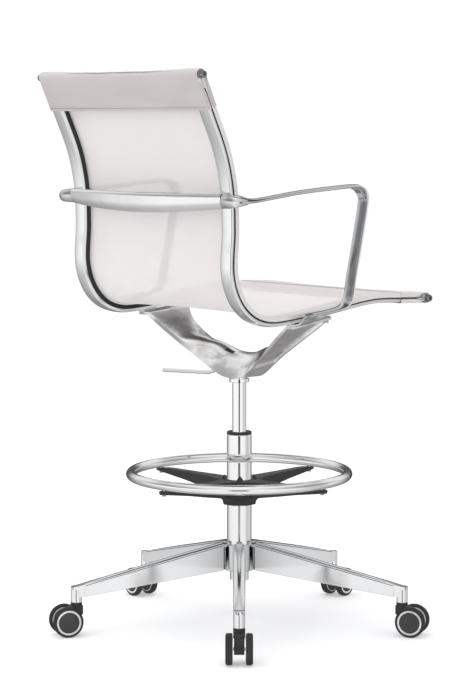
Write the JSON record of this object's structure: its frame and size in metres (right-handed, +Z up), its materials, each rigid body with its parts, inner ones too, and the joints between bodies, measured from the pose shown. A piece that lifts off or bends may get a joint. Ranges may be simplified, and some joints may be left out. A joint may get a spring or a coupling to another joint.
{
  "type": "drafting chair",
  "caption": "Height-adjustable mesh drafting chair with loop armrests, foot ring and a five-star base on twin-wheel casters.",
  "frame": {"origin": "on the floor under the axis of the gas lift column", "axes": "+Z up along the column; the sitter faces -Y, so the back is on the +Y side and the sitter's left is +X"},
  "size_m": [0.7365, 0.7528, 1.1094],
  "materials": {
    "polished_aluminium": "die-cast aluminium, machine polished with faint polishing lines",
    "chrome": "bright chromed steel",
    "black_plastic": "satin black glass-filled nylon with a fine grain",
    "steel": "zinc-plated steel",
    "mesh_fabric": "off-white open woven mesh, slightly see-through",
    "sleeve_fabric": "close-woven coated fabric with a sewn hem, light pinkish grey",
    "wheel_rubber": "black soft tread on a black wheel body with a pale ring"
  },
  "bodies": {
    "base": {"star_base": "polished_aluminium", "column_tube": "chrome", "column_bush": "black_plastic", "thrust_bearing": "steel"},
    "gas_rod": {"piston_rod": "steel", "column_clip": "steel"},
    "seat": {"gas_cylinder": "chrome", "antler": "polished_aluminium", "antler_collar": "polished_aluminium", "antler_bolts": "steel", "left_rail": "polished_aluminium", "right_rail": "polished_aluminium", "left_liner": "black_plastic", "right_liner": "black_plastic", "top_rod": "chrome", "front_rod": "chrome", "rod_caps": "chrome", "back_spreader": "polished_aluminium", "spreader_dowels": "steel", "left_armrest": "polished_aluminium", "right_armrest": "polished_aluminium", "armrest_screws": "steel", "mesh_sling": "mesh_fabric", "top_sleeve": "sleeve_fabric", "front_sleeve": "sleeve_fabric", "lever_pin": "steel"},
    "lever": {"height_lever": "chrome"},
    "valve": {"valve_button": "black_plastic"},
    "collet": {"foot_collet": "black_plastic"},
    "foot_ring": {"foot_ring": "chrome", "foot_star": "black_plastic", "foot_ring_screws": "steel"},
    "caster_1": {"caster_1_hood": "black_plastic", "caster_1_stem": "steel", "caster_1_axle": "steel"},
    "caster_1_wheel_a": {"caster_1_wheel_a": "wheel_rubber"},
    "caster_1_wheel_b": {"caster_1_wheel_b": "wheel_rubber"},
    "caster_2": {"caster_2_hood": "black_plastic", "caster_2_stem": "steel", "caster_2_axle": "steel"},
    "caster_2_wheel_a": {"caster_2_wheel_a": "wheel_rubber"},
    "caster_2_wheel_b": {"caster_2_wheel_b": "wheel_rubber"},
    "caster_3": {"caster_3_hood": "black_plastic", "caster_3_stem": "steel", "caster_3_axle": "steel"},
    "caster_3_wheel_a": {"caster_3_wheel_a": "wheel_rubber"},
    "caster_3_wheel_b": {"caster_3_wheel_b": "wheel_rubber"},
    "caster_4": {"caster_4_hood": "black_plastic", "caster_4_stem": "steel", "caster_4_axle": "steel"},
    "caster_4_wheel_a": {"caster_4_wheel_a": "wheel_rubber"},
    "caster_4_wheel_b": {"caster_4_wheel_b": "wheel_rubber"},
    "caster_5": {"caster_5_hood": "black_plastic", "caster_5_stem": "steel", "caster_5_axle": "steel"},
    "caster_5_wheel_a": {"caster_5_wheel_a": "wheel_rubber"},
    "caster_5_wheel_b": {"caster_5_wheel_b": "wheel_rubber"}
  },
  "joints": [
    {"name": "seat_swivel", "type": "hinge", "parent": "base", "child": "gas_rod", "pos_m": [0, 0, 0.1], "axis": [0, 0, 1], "continuous": true},
    {"name": "seat_lift", "type": "slide", "parent": "gas_rod", "child": "seat", "axis": [0, 0, 1], "range_m": [-0.085, 0.115]},
    {"name": "lever_lift", "type": "hinge", "parent": "seat", "child": "lever", "pos_m": [0.025, 0, 0.529], "axis": [0, -1, 0], "range_deg": [0, 7], "stiffness_Nm_per_rad": 1.5, "springref_deg": -5.73},
    {"name": "valve_press", "type": "slide", "parent": "seat", "child": "valve", "axis": [0, 0, -1], "range_m": [0, 0.003]},
    {"name": "foot_ring_slide", "type": "slide", "parent": "base", "child": "collet", "axis": [0, 0, 1], "range_m": [-0.075, 0.08]},
    {"name": "foot_ring_twist", "type": "hinge", "parent": "collet", "child": "foot_ring", "pos_m": [0, 0, 0.27], "axis": [0, 0, 1], "range_deg": [0, 40]},
    {"name": "caster_1_swivel", "type": "hinge", "parent": "base", "child": "caster_1", "pos_m": [0.33748, -0.02988, 0.07], "axis": [0, 0, 1], "continuous": true},
    {"name": "caster_1_roll_a", "type": "hinge", "parent": "caster_1", "child": "caster_1_wheel_a", "pos_m": [0.3584, -0.03173, 0.03], "axis": [0.0882, 0.9961, 0], "continuous": true},
    {"name": "caster_1_roll_b", "type": "hinge", "parent": "caster_1", "child": "caster_1_wheel_b", "pos_m": [0.3584, -0.03173, 0.03], "axis": [0.0882, 0.9961, 0], "continuous": true},
    {"name": "caster_2_swivel", "type": "hinge", "parent": "base", "child": "caster_2", "pos_m": [0.13271, 0.31173, 0.07], "axis": [0, 0, 1], "continuous": true},
    {"name": "caster_2_roll_a", "type": "hinge", "parent": "caster_2", "child": "caster_2_wheel_a", "pos_m": [0.14093, 0.33105, 0.03], "axis": [-0.9201, 0.3917, 0], "continuous": true},
    {"name": "caster_2_roll_b", "type": "hinge", "parent": "caster_2", "child": "caster_2_wheel_b", "pos_m": [0.14093, 0.33105, 0.03], "axis": [-0.9201, 0.3917, 0], "continuous": true},
    {"name": "caster_3_swivel", "type": "hinge", "parent": "base", "child": "caster_3", "pos_m": [-0.25546, 0.22254, 0.07], "axis": [0, 0, 1], "continuous": true},
    {"name": "caster_3_roll_a", "type": "hinge", "parent": "caster_3", "child": "caster_3_wheel_a", "pos_m": [-0.2713, 0.23633, 0.03], "axis": [-0.6568, -0.754, 0], "continuous": true},
    {"name": "caster_3_roll_b", "type": "hinge", "parent": "caster_3", "child": "caster_3_wheel_b", "pos_m": [-0.2713, 0.23633, 0.03], "axis": [-0.6568, -0.754, 0], "continuous": true},
    {"name": "caster_4_swivel", "type": "hinge", "parent": "base", "child": "caster_4", "pos_m": [-0.29059, -0.17419, 0.07], "axis": [0, 0, 1], "continuous": true},
    {"name": "caster_4_roll_a", "type": "hinge", "parent": "caster_4", "child": "caster_4_wheel_a", "pos_m": [-0.3086, -0.18499, 0.03], "axis": [0.5141, -0.8577, 0], "continuous": true},
    {"name": "caster_4_roll_b", "type": "hinge", "parent": "caster_4", "child": "caster_4_wheel_b", "pos_m": [-0.3086, -0.18499, 0.03], "axis": [0.5141, -0.8577, 0], "continuous": true},
    {"name": "caster_5_swivel", "type": "hinge", "parent": "base", "child": "caster_5", "pos_m": [0.07587, -0.3302, 0.07], "axis": [0, 0, 1], "continuous": true},
    {"name": "caster_5_roll_a", "type": "hinge", "parent": "caster_5", "child": "caster_5_wheel_a", "pos_m": [0.08057, -0.35066, 0.03], "axis": [0.9746, 0.2239, 0], "continuous": true},
    {"name": "caster_5_roll_b", "type": "hinge", "parent": "caster_5", "child": "caster_5_wheel_b", "pos_m": [0.08057, -0.35066, 0.03], "axis": [0.9746, 0.2239, 0], "continuous": true}
  ],
  "couplings": [
    {"joint": "valve_press", "follows": "lever_lift", "m_per_rad": 0.0245}
  ]
}
